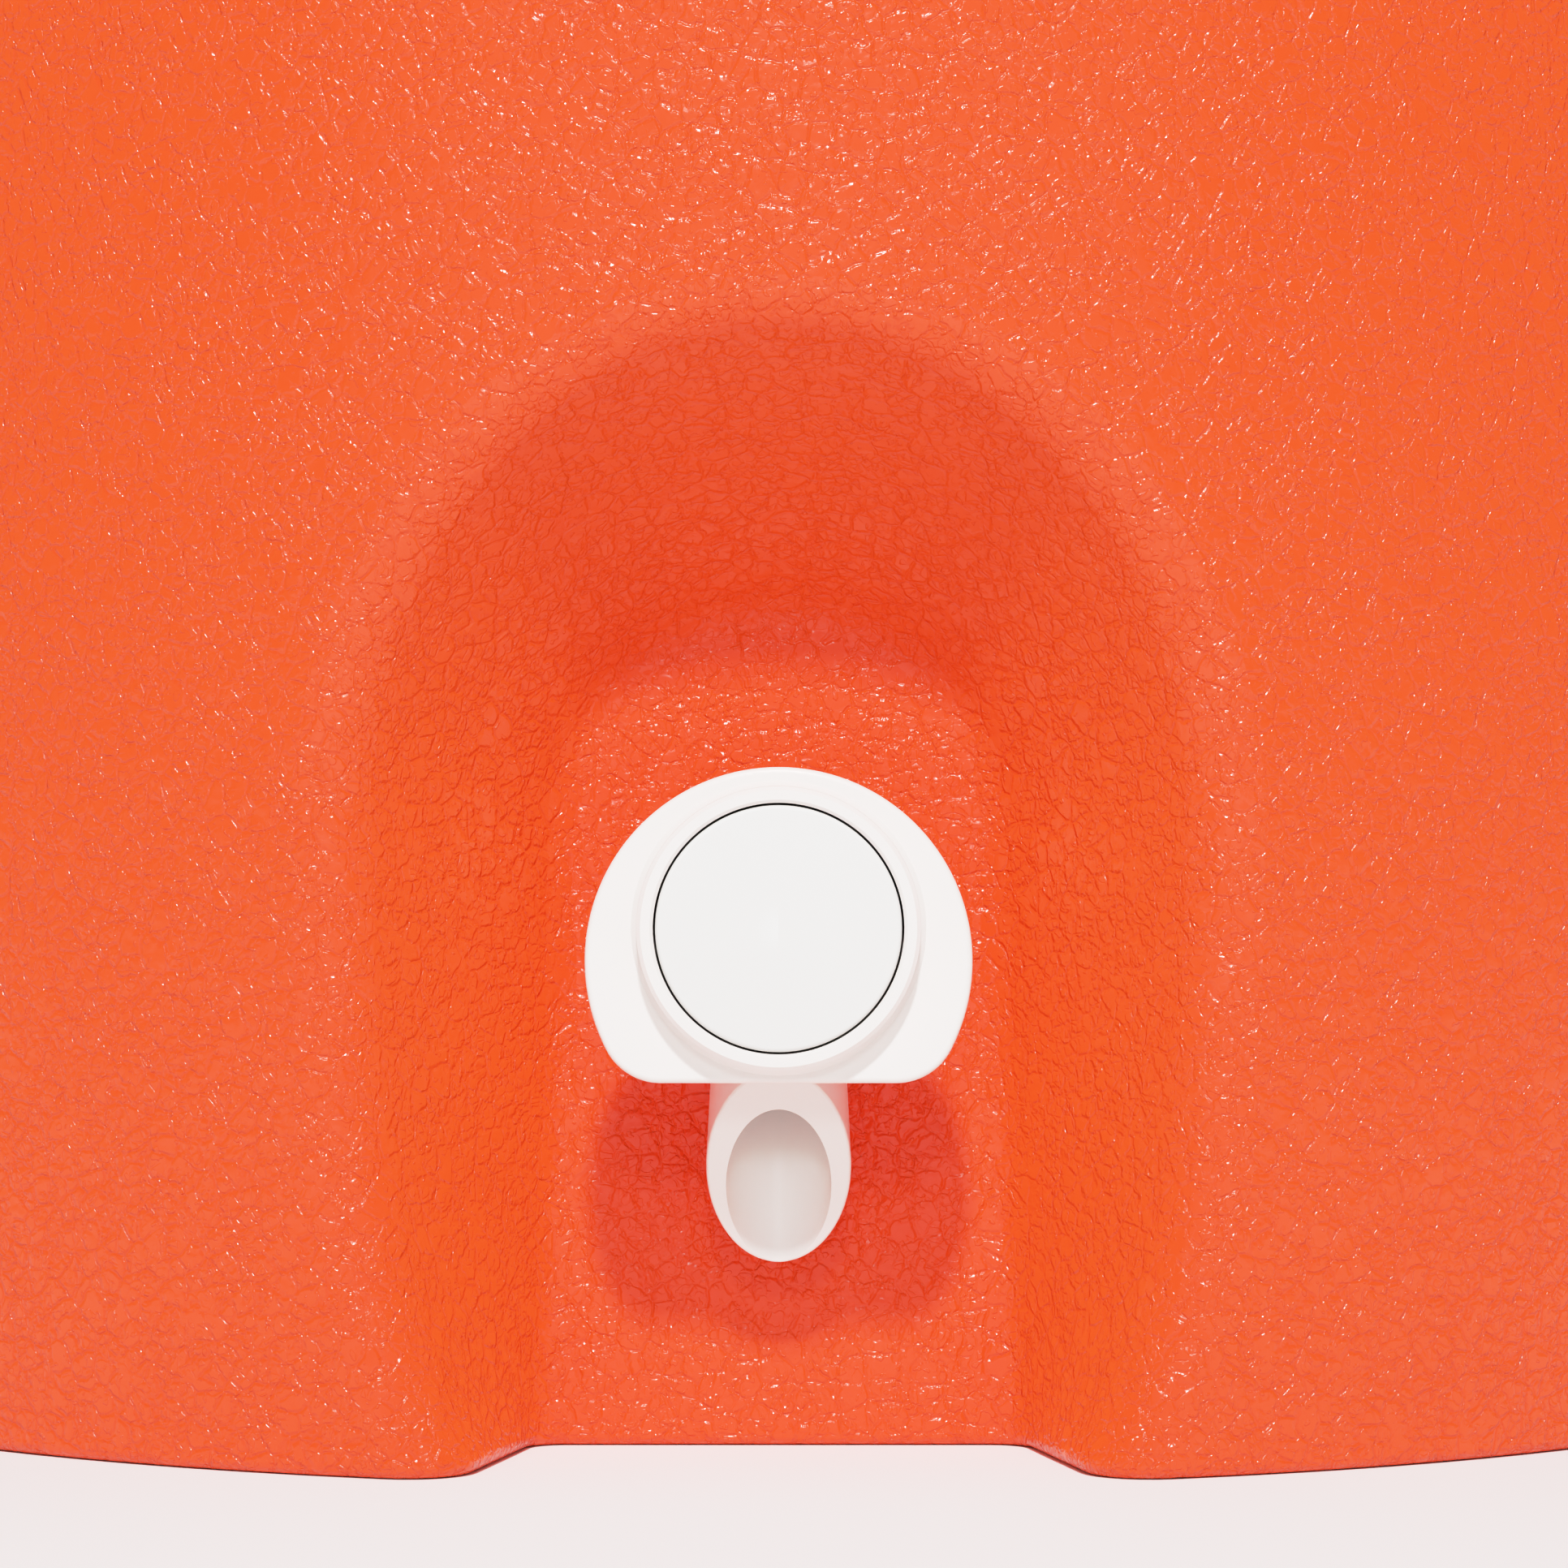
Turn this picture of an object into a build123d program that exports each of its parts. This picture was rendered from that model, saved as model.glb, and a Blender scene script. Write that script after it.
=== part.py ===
from build123d import *
import math
import os

os.makedirs("parts", exist_ok=True)

# Insulated beverage dispenser: a double-walled round vessel with a push-button
# spigot in an arched recess, a lift-off insulated lid and two swing handles.
# Millimetres. +Z is up, the spigot faces -Y, and the origin is the centre of the
# circle that the vessel stands on.

# ---- Vessel: outside of the shell ----
BASE_RADIUS = 165.0
FOOT_RADIUS = 164.2
TUCK_HEIGHT = 22.0
SHOULDER_RADIUS = 168.0
SHOULDER_HEIGHT = 414.0
RIM_RADIUS = 170.6
RIM_HEIGHT = 420.0
BODY_HEIGHT = 440.0
FOOT_EDGE_ROUND = 1.6
UNDERSIDE_RAISE = 8.0
UNDERSIDE_RADIUS = 102.0
FOOT_RING_INNER_RADIUS = 110.0

# ---- Vessel: wall build-up, measured from the outside face ----
SHELL_WALL = 2.6
RECESS_FOAM = 8.2
LINER_WALL = 2.2
SHELL_DEPTH = SHELL_WALL
FOAM_DEPTH = SHELL_DEPTH + RECESS_FOAM
LINER_DEPTH = FOAM_DEPTH + LINER_WALL

# ---- Vessel: reservoir ----
TANK_RADIUS = 130.0
TANK_FLOOR_RADIUS = 128.4
TANK_FLOOR = 46.0
TANK_CORNER = 14.0
FLANGE_THICKNESS = 3.0
FLANGE_EDGE_ROUND = 1.0
FLANGE_TOP = BODY_HEIGHT + FLANGE_THICKNESS

# ---- Spigot recess: an arch that narrows towards its flat back panel ----
RECESS_DEPTH = 45.0
PANEL_Y = RECESS_DEPTH - BASE_RADIUS
ARCH_FRONT_RADIUS = 64.0
ARCH_FRONT_CENTRE = 85.2
ARCH_FRONT_KNEE = 58.0
ARCH_FRONT_FOOT = 37.0
ARCH_BACK_RADIUS = 29.7
ARCH_BACK_CENTRE = 83.3
ARCH_BACK_KNEE = 31.5
ARCH_BACK_FOOT = 33.0
ARCH_SIDE_LEVEL = 45.0
ARCH_KNEE_LEVEL = 18.0
ARCH_FOOT_LEVEL = -4.0
ARCH_KNEE_GROWTH = 1.25
ARCH_FOOT_GROWTH = 1.5
ARCH_LEAD = 14.0
RECESS_RIM_ROUND = 8.5
RECESS_PANEL_ROUND = 5.0

# ---- Spigot: distances in front of the recess panel, along its axis ----
SPIGOT_HEIGHT = 70.8
WASHER_THICKNESS = 2.0
SHOULDER_FRONT = 5.0
CHAMBER_FRONT = 18.0
CUP_BACK = 21.5
CUP_FRONT = 30.0
PLATE_FRONT = 32.5
COLLAR_FRONT = 36.5
SHANK_END = -28.0
SEAT = -1.0
NUT_THICKNESS = 9.0

# ---- Spigot: radii ----
SHANK_RADIUS = 9.5
SHANK_ROOT_RADIUS = 8.7
SHANK_BORE = 7.2
THREAD_PITCH = 2.0
SHANK_HOLE = 9.8
SEAT_BORE = 5.0
SPIGOT_SHOULDER_RADIUS = 15.0
BARREL_RADIUS = 12.0
CHAMBER_RADIUS = 9.5
CUP_RADIUS = 17.9
CUP_BORE = 16.3
STEM_RADIUS = 2.3
STEM_BORE = 2.4
STEM_SEAL_RADIUS = 4.5
STEM_SEAL_BORE = 2.35
STEM_SEAL_BACK = 19.5

# ---- Spout ----
SPOUT_ROOT = 9.2
SPOUT_TILT = 15.0
SPOUT_BORE_TILT = 12.2
SPOUT_MOUTH_HEIGHT = 39.1
SPOUT_ROOT_RADIUS = 8.0
SPOUT_MOUTH_RADIUS = 9.6
SPOUT_BORE_ROOT = 5.9
SPOUT_BORE_MOUTH = 6.9
SPOUT_OVERRUN = 24.0
MOUTH_SLOPE = 25.3
MOUTH_LIP_ROUND = 0.45

# ---- Faceplate and button ----
PLATE_RADIUS = 25.1
PLATE_CENTRE = 66.5
PLATE_FLAT = 50.7
PLATE_CORNER = 8.0
PLATE_EDGE_ROUND = 0.8
COLLAR_RADIUS = 18.4
COLLAR_BASE_RADIUS = 19.1
COLLAR_BORE = 16.2
SLEEVE_RADIUS = 19.5
SLEEVE_BORE = 17.95
SLEEVE_BACK = 25.5
BUTTON_RADIUS = 15.9
BUTTON_FACE = 2.0
BUTTON_DOME = 0.4
BUTTON_SKIRT_BACK = 28.0
BUTTON_SKIRT_WALL = 1.8
BUTTON_BOSS_RADIUS = 4.2
BUTTON_BOSS_BACK = 28.5
BUTTON_EDGE_ROUND = 0.6

# ---- Valve ----
STEM_FRONT = 33.5
STEM_END = -8.0
SEAL_GAP = 0.3
SEAL_RADIUS = 6.2
SEAL_THICKNESS = 3.7
RETAINER_RADIUS = 4.0
RETAINER_THICKNESS = 2.0
SPRING_RADIUS = 5.9
SPRING_WIRE_RADIUS = 0.6
SPRING_TURNS = 5
NUT_ACROSS_FLATS = 30.0
NUT_EDGE = 1.2
INNER_WASHER_RADIUS = 17.5
THREAD_CLEARANCE = 0.05

# ---- Swing handles ----
HANDLE_PIVOT_X = 179.0
HANDLE_PIVOT_HEIGHT = 390.0
HANDLE_DROP = 84.0
HANDLE_CORNER = 24.0
HANDLE_WIDTH = 9.0
HANDLE_DEPTH = 12.0
HANDLE_EDGE = 3.5
GRIP_LENGTH = 70.0
GRIP_END_RADIUS = 5.5
GRIP_RADIUS = 8.0
EYE_RADIUS = 10.0
LUG_RADIUS = 11.0
LUG_CENTRE = 52.0
LUG_WIDTH = 12.0
LUG_ROOT_X = 152.0
LUG_ROOT_RADIUS = 4.0
LUG_RISE = 14.0
LUG_FALL = 18.0
BRACKET_PLATE = 3.0
BRACKET_WIDTH = 126.0
BRACKET_HEIGHT = 46.0
BRACKET_CENTRE = 388.0
BRACKET_CORNER = 9.0
BRACKET_SCREW_SPREAD = 30.0
BRACKET_SCREW_RISE = 13.0
SCREW_RADIUS = 2.0
SCREW_HOLE_RADIUS = 2.1
SCREW_LENGTH = 9.0
SCREW_HEAD_RADIUS = 4.2
SCREW_HEAD_GAP = 0.1
SCREW_HEAD_THICKNESS = 2.2
SCREW_HEAD_ROUND = 1.2
SCREW_SLOT_WIDTH = 1.1
SCREW_SLOT_LENGTH = 5.6
SCREW_SLOT_DEPTH = 1.2
SCREW_HOLE_LEAD = 1.0
SCREW_HOLE_SPARE = 1.5
PIN_RADIUS = 4.0
PIN_HEAD_RADIUS = 6.5
PIN_HEAD_THICKNESS = 2.5
PIN_HEAD_GAP = 0.3
PIN_HEAD_ROUND = 1.2
PIN_TAIL = 3.0
PIN_RUNNING_CLEARANCE = 0.08
PIN_FIXED_CLEARANCE = 0.03
CLIP_RADIUS = 7.0
CLIP_THICKNESS = 1.4
SIDE_GAP = 0.8
HANDLE_SPAN = LUG_CENTRE + LUG_WIDTH / 2 + SIDE_GAP + HANDLE_WIDTH / 2

# ---- Lid ----
LID_WALL = 2.4
LID_CLEARANCE = 0.6
LID_RADIUS = RIM_RADIUS + LID_CLEARANCE + LID_WALL
LID_SKIRT_BOTTOM = 430.0
LID_SHOULDER_ROUND = 12.0
LID_DECK = 469.0
LID_DECK_INNER_RADIUS = 138.0
LID_CROWN_RADIUS = 124.0
LID_CROWN = 485.0
LID_TOP = 492.0
LID_RIBS = 36
LID_RIB_RADIUS = 1.6
LID_RIB_PROUD = 1.0
LID_RIB_BOTTOM = 433.0
LID_RIB_LENGTH = 20.0
LID_FLANGE = 2.4
PLUG_RADIUS = 127.4
PLUG_WALL = 4.0
PLUG_BOTTOM = 419.0
PLUG_FLOOR = 2.2
GASKET_BOTTOM = 431.0
GASKET_WIDTH = 4.0
GASKET_RADIUS = 129.5
GASKET_GROOVE = 2.0
GASKET_BEVEL = 1.4
PLUG_EDGE_ROUND = 1.5

# ---- Foam fill plug under the vessel ----
FILL_HOLE_RADIUS = 9.0
FILL_PLUG_RADIUS = 14.0
FILL_PLUG_FLANGE = 1.6
FILL_PLUG_BEVEL = 0.6


# ============================================================ vessel surfaces
def recess_section(depth, inset):
    """Arch outline of the recess, at a depth behind the front of the vessel."""
    share = depth / RECESS_DEPTH
    slope = (ARCH_FRONT_RADIUS - ARCH_BACK_RADIUS) / RECESS_DEPTH
    radius = ARCH_FRONT_RADIUS + share * (ARCH_BACK_RADIUS - ARCH_FRONT_RADIUS)
    radius += inset * math.hypot(1, slope)
    centre = ARCH_FRONT_CENTRE + share * (ARCH_BACK_CENTRE - ARCH_FRONT_CENTRE)
    knee = ARCH_FRONT_KNEE + share * (ARCH_BACK_KNEE - ARCH_FRONT_KNEE)
    knee += inset * ARCH_KNEE_GROWTH
    foot = ARCH_FRONT_FOOT + share * (ARCH_BACK_FOOT - ARCH_FRONT_FOOT)
    foot += inset * ARCH_FOOT_GROWTH
    with BuildSketch(Plane.XZ.offset(BASE_RADIUS - depth)) as section:
        with BuildLine():
            CenterArc((0, centre), radius, 0, 180)
            for side in (-1, 1):
                Bezier(
                    (side * radius, centre),
                    (side * radius, ARCH_SIDE_LEVEL),
                    (side * knee, ARCH_KNEE_LEVEL),
                    (side * foot, ARCH_FOOT_LEVEL),
                )
            Line((foot, ARCH_FOOT_LEVEL), (-foot, ARCH_FOOT_LEVEL))
        make_face()
    return section.sketch


def recess_space(inset):
    """The space that the recess takes, grown all round by inset."""
    with BuildPart() as space:
        add(recess_section(-ARCH_LEAD, inset))
        add(recess_section(RECESS_DEPTH + inset, inset))
        loft(ruled=True)
    return space.part


def rim_edges(shape, radius):
    """Edges where the recess breaks through a round wall of a given radius."""
    return shape.edges().filter_by(
        lambda e: e.center().Z > 1
        and e.center().Z < 200
        and e.center().Y < 0
        and abs(e.center().X) < 80
        and min(math.hypot(v.X, v.Y) for v in e.vertices()) > radius - 4
        and e.geom_type == GeomType.BSPLINE
    )


def vessel_form(inset, rim_round, panel_round):
    """Everything inside the shell's outside face moved inwards by inset."""
    with BuildPart() as form:
        with BuildSketch(Plane.XZ):
            with BuildLine():
                Polyline(
                    (0, BODY_HEIGHT),
                    (0, UNDERSIDE_RAISE + inset),
                    (UNDERSIDE_RADIUS, UNDERSIDE_RAISE + inset),
                    (FOOT_RING_INNER_RADIUS, inset),
                    (FOOT_RADIUS - inset, inset),
                )
                tuck = TangentArc(
                    (BASE_RADIUS - inset, TUCK_HEIGHT),
                    (FOOT_RADIUS - inset, inset),
                    tangent=(0, -1),
                )
                Polyline(
                    tuck @ 0,
                    (SHOULDER_RADIUS - inset, SHOULDER_HEIGHT),
                    (RIM_RADIUS - inset, RIM_HEIGHT),
                    (RIM_RADIUS - inset, BODY_HEIGHT),
                    (0, BODY_HEIGHT),
                )
            make_face()
        revolve(axis=Axis.Z)
        add(recess_space(inset), mode=Mode.SUBTRACT)
        panel_y = PANEL_Y + inset
        panel_edges = form.edges().filter_by_position(Axis.Y, panel_y - 0.01, panel_y + 0.01)
        fillet(panel_edges.filter_by(lambda e: e.center().Z > inset + 1), panel_round)
        fillet(rim_edges(form, BASE_RADIUS - inset), rim_round)
    return form.part


def tank_form(inset, radius, floor, corner, top):
    """The reservoir's space, or the liner's outside, with its flat for the spigot nut."""
    floor_radius = radius - TANK_RADIUS + TANK_FLOOR_RADIUS
    with BuildPart() as form:
        with BuildSketch(Plane.XZ):
            with BuildLine():
                Polyline((0, top), (0, floor), (floor_radius - corner, floor))
                bend = TangentArc(
                    (floor_radius - corner, floor),
                    (floor_radius, floor + corner),
                    tangent=(1, 0),
                )
                Polyline(bend @ 1, (radius, top), (0, top))
            make_face()
        revolve(axis=Axis.Z)
        add(recess_space(inset), mode=Mode.SUBTRACT)
    return form.part


shell_outside = vessel_form(0, RECESS_RIM_ROUND, RECESS_PANEL_ROUND)
shell_inside = vessel_form(
    SHELL_DEPTH, RECESS_RIM_ROUND - SHELL_WALL, RECESS_PANEL_ROUND + SHELL_WALL
)
liner_outside = tank_form(
    FOAM_DEPTH, TANK_RADIUS + LINER_WALL, TANK_FLOOR - LINER_WALL, TANK_CORNER + LINER_WALL, BODY_HEIGHT
)
tank = tank_form(LINER_DEPTH, TANK_RADIUS, TANK_FLOOR, TANK_CORNER, FLANGE_TOP)


def shank_hole():
    """The round hole that the spigot's shank passes through."""
    with BuildPart() as hole:
        with BuildSketch(Plane.XZ.offset(-PANEL_Y + SHANK_END)):
            with Locations((0, SPIGOT_HEIGHT)):
                Circle(SHANK_HOLE)
        extrude(amount=SHOULDER_FRONT - SHANK_END)
    return hole.part


def shell_radius(height):
    """Radius of the shell's outside between the tucked-in foot and the shoulder."""
    rise = (height - TUCK_HEIGHT) / (SHOULDER_HEIGHT - TUCK_HEIGHT)
    return BASE_RADIUS + rise * (SHOULDER_RADIUS - BASE_RADIUS)


def bracket_screw_planes():
    """Planes on the +X bracket's face, looking outwards, one for each screw."""
    planes = []
    for across in (-BRACKET_SCREW_SPREAD, BRACKET_SCREW_SPREAD):
        for rise in (-BRACKET_SCREW_RISE, BRACKET_SCREW_RISE):
            height = BRACKET_CENTRE + rise
            radius = shell_radius(height) + BRACKET_PLATE
            angle = math.asin(across / radius)
            outward = (math.cos(angle), math.sin(angle), 0)
            at = (radius * outward[0], radius * outward[1], height)
            planes.append(Plane(origin=at, x_dir=(0, 0, 1), z_dir=outward).offset(SCREW_HEAD_GAP))
    return planes


def bracket_screw_holes():
    """The eight screw holes, through both brackets and into the wall."""
    with BuildPart() as holes:
        for face in bracket_screw_planes():
            with BuildSketch(face.offset(SCREW_HOLE_LEAD)):
                Circle(SCREW_HOLE_RADIUS)
            extrude(amount=-SCREW_LENGTH - SCREW_HOLE_SPARE)
        mirror(holes.part, about=Plane.YZ)
    return holes.part


def bracket_screws():
    """The four screws of the +X bracket: a rounded head with a cross slot, and a shank."""
    with BuildPart() as screws:
        for face in bracket_screw_planes():
            with BuildSketch(face):
                Circle(SCREW_HEAD_RADIUS)
            extrude(amount=SCREW_HEAD_THICKNESS)
            with BuildSketch(face):
                Circle(SCREW_RADIUS)
            extrude(amount=-SCREW_LENGTH)
        crowns = screws.edges().filter_by(GeomType.CIRCLE)
        crowns = crowns.filter_by(lambda e: abs(e.radius - SCREW_HEAD_RADIUS) < 0.01)
        tops = [
            crowns.sort_by_distance(face.offset(SCREW_HEAD_THICKNESS).origin)[0]
            for face in bracket_screw_planes()
        ]
        fillet(tops, SCREW_HEAD_ROUND)
        for face in bracket_screw_planes():
            with BuildSketch(face.offset(SCREW_HEAD_THICKNESS)):
                Rectangle(SCREW_SLOT_WIDTH, SCREW_SLOT_LENGTH)
                Rectangle(SCREW_SLOT_LENGTH, SCREW_SLOT_WIDTH)
            extrude(amount=-SCREW_SLOT_DEPTH, mode=Mode.SUBTRACT)
    return screws.part


def handle_bracket():
    """The +X bracket: a plate that follows the wall, with two hinge lugs."""
    low, high = BRACKET_CENTRE - BRACKET_HEIGHT, BRACKET_CENTRE + BRACKET_HEIGHT
    with BuildPart() as bracket:
        with BuildSketch(Plane.XZ):
            Polygon(
                (0, low),
                (shell_radius(low) + BRACKET_PLATE, low),
                (shell_radius(high) + BRACKET_PLATE, high),
                (0, high),
                align=None,
            )
        revolve(axis=Axis.Z)
        with BuildSketch(Plane.YZ):
            with Locations((0, BRACKET_CENTRE)):
                RectangleRounded(BRACKET_WIDTH, BRACKET_HEIGHT, BRACKET_CORNER)
        extrude(amount=2 * BASE_RADIUS, mode=Mode.INTERSECT)
        for side in (-1, 1):
            with BuildSketch(Plane.XZ.offset(-side * LUG_CENTRE - LUG_WIDTH / 2)):
                with Locations((HANDLE_PIVOT_X, HANDLE_PIVOT_HEIGHT)):
                    Circle(LUG_RADIUS)
                with Locations(
                    (LUG_ROOT_X, HANDLE_PIVOT_HEIGHT + LUG_RISE),
                    (LUG_ROOT_X, HANDLE_PIVOT_HEIGHT - LUG_FALL),
                ):
                    Circle(LUG_ROOT_RADIUS)
                make_hull()
            extrude(amount=LUG_WIDTH)
        with BuildSketch(Plane.XZ.offset(-LUG_CENTRE - LUG_WIDTH)):
            with Locations((HANDLE_PIVOT_X, HANDLE_PIVOT_HEIGHT)):
                Circle(PIN_RADIUS + PIN_FIXED_CLEARANCE)
        extrude(amount=2 * (LUG_CENTRE + LUG_WIDTH), mode=Mode.SUBTRACT)
        add(shell_outside, mode=Mode.SUBTRACT)
        add(bracket_screw_holes(), mode=Mode.SUBTRACT)
    return bracket.part


# ============================================================ vessel pieces
with BuildPart() as outer_shell:
    add(shell_outside)
    standing_edges = outer_shell.edges().filter_by_position(Axis.Z, -0.01, 0.01)
    fillet(
        standing_edges.filter_by(
            lambda e: min(math.hypot(v.X, v.Y) for v in e.vertices()) > FOOT_RING_INNER_RADIUS + 1
        ),
        FOOT_EDGE_ROUND,
    )
    add(shell_inside, mode=Mode.SUBTRACT)
    add(shank_hole(), mode=Mode.SUBTRACT)
    add(bracket_screw_holes(), mode=Mode.SUBTRACT)
    with Locations((0, 0, UNDERSIDE_RAISE + SHELL_WALL / 2)):
        Cylinder(FILL_HOLE_RADIUS, 3 * SHELL_WALL, mode=Mode.SUBTRACT)
outer_shell.part.label = "outer_shell"
export_step(outer_shell.part, "parts/outer_shell.step")

with BuildPart() as foam_insulation:
    add(shell_inside)
    add(liner_outside, mode=Mode.SUBTRACT)
    add(shank_hole(), mode=Mode.SUBTRACT)
    add(bracket_screw_holes(), mode=Mode.SUBTRACT)
foam_insulation.part.label = "foam_insulation"
export_step(foam_insulation.part, "parts/foam_insulation.step")

with BuildPart() as inner_liner:
    add(liner_outside)
    with BuildSketch(Plane.XY.offset(BODY_HEIGHT)):
        Circle(RIM_RADIUS)
    extrude(amount=FLANGE_THICKNESS)
    flange_edge = inner_liner.edges().filter_by(GeomType.CIRCLE).sort_by(Axis.Z)[-1]
    fillet(flange_edge, FLANGE_EDGE_ROUND)
    add(tank, mode=Mode.SUBTRACT)
    add(shank_hole(), mode=Mode.SUBTRACT)
inner_liner.part.label = "inner_liner"
export_step(inner_liner.part, "parts/inner_liner.step")

with BuildPart() as foam_fill_plug:
    with BuildSketch(Plane.XY.offset(UNDERSIDE_RAISE - FILL_PLUG_FLANGE)):
        Circle(FILL_PLUG_RADIUS)
    extrude(amount=FILL_PLUG_FLANGE)
    chamfer(foam_fill_plug.edges().sort_by(Axis.Z)[0], FILL_PLUG_BEVEL)
    with BuildSketch(Plane.XY.offset(UNDERSIDE_RAISE)):
        Circle(FILL_HOLE_RADIUS)
    extrude(amount=SHELL_WALL)
foam_fill_plug.part.label = "foam_fill_plug"
export_step(foam_fill_plug.part, "parts/foam_fill_plug.step")


# ============================================================ spigot
# Side plane of the spigot: local x runs forward from the panel, local y runs down.
SPIGOT_AXIS = Axis((0, PANEL_Y, SPIGOT_HEIGHT), (0, -1, 0))
SPIGOT_SIDE = Plane(origin=(0, PANEL_Y, SPIGOT_HEIGHT), x_dir=(0, -1, 0), z_dir=(1, 0, 0))


def spigot_plane(forward):
    """A plane facing forward, centred on the spigot's axis."""
    return Plane(origin=(0, PANEL_Y - forward, SPIGOT_HEIGHT), x_dir=(1, 0, 0), z_dir=(0, -1, 0))


def turned(*outline):
    """A piece turned about the spigot's axis from (forward, radius) points."""
    with BuildPart() as piece:
        with BuildSketch(SPIGOT_SIDE):
            with BuildLine():
                Polyline(*outline, close=True)
            make_face()
        revolve(axis=SPIGOT_AXIS)
    return piece.part


def ring(back, front, inner, outer):
    """A plain ring about the spigot's axis."""
    return turned((back, inner), (back, outer), (front, outer), (front, inner))


def spout_cone(tilt, root_radius, mouth_radius):
    """A cone that leans forward and runs from the spigot's axis past the spout's mouth."""
    down = SPIGOT_HEIGHT - SPOUT_MOUTH_HEIGHT
    reach = down / math.cos(math.radians(tilt))
    growth = (mouth_radius - root_radius) / reach
    lean = math.radians(tilt)
    root = Plane(
        origin=(0, PANEL_Y - SPOUT_ROOT, SPIGOT_HEIGHT),
        x_dir=(1, 0, 0),
        z_dir=(0, -math.sin(lean), -math.cos(lean)),
    )
    length = reach + SPOUT_OVERRUN
    with BuildPart() as cone:
        with BuildSketch(root):
            Circle(root_radius)
        with BuildSketch(root.offset(length)):
            Circle(root_radius + growth * length)
        loft()
    return cone.part


def mouth_plane():
    """The slanted plane that the spout is cut off at; it faces forwards and down."""
    forward = SPOUT_ROOT + (SPIGOT_HEIGHT - SPOUT_MOUTH_HEIGHT) * math.tan(math.radians(SPOUT_TILT))
    slope = math.radians(MOUTH_SLOPE)
    return Plane(
        origin=(0, PANEL_Y - forward, SPOUT_MOUTH_HEIGHT),
        x_dir=(1, 0, 0),
        z_dir=(0, -math.cos(slope), -math.sin(slope)),
    )


with BuildPart() as spout:
    add(spout_cone(SPOUT_TILT, SPOUT_ROOT_RADIUS, SPOUT_MOUTH_RADIUS))
    split(bisect_by=mouth_plane(), keep=Keep.BOTTOM)
    add(spout_cone(SPOUT_BORE_TILT, SPOUT_BORE_ROOT, SPOUT_BORE_MOUTH), mode=Mode.SUBTRACT)
    mouth_edges = spout.edges().filter_by(
        lambda e: abs(mouth_plane().to_local_coords(e.center()).Z) < 0.01
        and abs(mouth_plane().to_local_coords(e @ 0.3).Z) < 0.01
    )
    fillet(mouth_edges.sort_by(SortBy.LENGTH)[-1], MOUTH_LIP_ROUND)

thread = []
groove = SHANK_END + THREAD_PITCH / 2
while groove < -LINER_DEPTH:
    thread += [
        (groove, SHANK_RADIUS),
        (groove + THREAD_PITCH * 0.35, SHANK_ROOT_RADIUS),
        (groove + THREAD_PITCH * 0.50, SHANK_ROOT_RADIUS),
        (groove + THREAD_PITCH * 0.85, SHANK_RADIUS),
    ]
    groove += THREAD_PITCH

with BuildPart() as spigot_body:
    add(
        turned(
            (SHANK_END, 0),
            (SHANK_END, SHANK_RADIUS),
            *thread,
            (WASHER_THICKNESS, SHANK_RADIUS),
            (WASHER_THICKNESS, SPIGOT_SHOULDER_RADIUS),
            (SHOULDER_FRONT, SPIGOT_SHOULDER_RADIUS),
            (SHOULDER_FRONT, BARREL_RADIUS),
            (CHAMBER_FRONT, BARREL_RADIUS),
            (CUP_BACK - 1.5, CUP_RADIUS),
            (CUP_FRONT, CUP_RADIUS),
            (CUP_FRONT, 0),
        )
    )
    add(spout.part)
    add(
        turned(
            (SHANK_END - 1, 0),
            (SHANK_END - 1, SHANK_BORE),
            (SEAT, SHANK_BORE),
            (SEAT, SEAT_BORE),
            (SHOULDER_FRONT, SEAT_BORE),
            (SHOULDER_FRONT, CHAMBER_RADIUS),
            (CHAMBER_FRONT, CHAMBER_RADIUS),
            (CHAMBER_FRONT, STEM_BORE),
            (STEM_SEAL_BACK, STEM_BORE),
            (STEM_SEAL_BACK, STEM_SEAL_RADIUS),
            (CUP_BACK, STEM_SEAL_RADIUS),
            (CUP_BACK, CUP_BORE),
            (CUP_FRONT + 1, CUP_BORE),
            (CUP_FRONT + 1, 0),
        ),
        mode=Mode.SUBTRACT,
    )
    add(spout_cone(SPOUT_BORE_TILT, SPOUT_BORE_ROOT, SPOUT_BORE_MOUTH), mode=Mode.SUBTRACT)
spigot_body.part.label = "spigot_body"
export_step(spigot_body.part, "parts/spigot_body.step")

with BuildPart() as spigot_outer_washer:
    add(ring(0, WASHER_THICKNESS, SHANK_RADIUS + THREAD_CLEARANCE, SPIGOT_SHOULDER_RADIUS + 1))
spigot_outer_washer.part.label = "spigot_outer_washer"
export_step(spigot_outer_washer.part, "parts/spigot_outer_washer.step")

inner_face = -LINER_DEPTH
with BuildPart() as spigot_inner_washer:
    add(
        ring(
            inner_face - WASHER_THICKNESS,
            inner_face,
            SHANK_RADIUS + THREAD_CLEARANCE,
            INNER_WASHER_RADIUS,
        )
    )
spigot_inner_washer.part.label = "spigot_inner_washer"
export_step(spigot_inner_washer.part, "parts/spigot_inner_washer.step")

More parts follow.
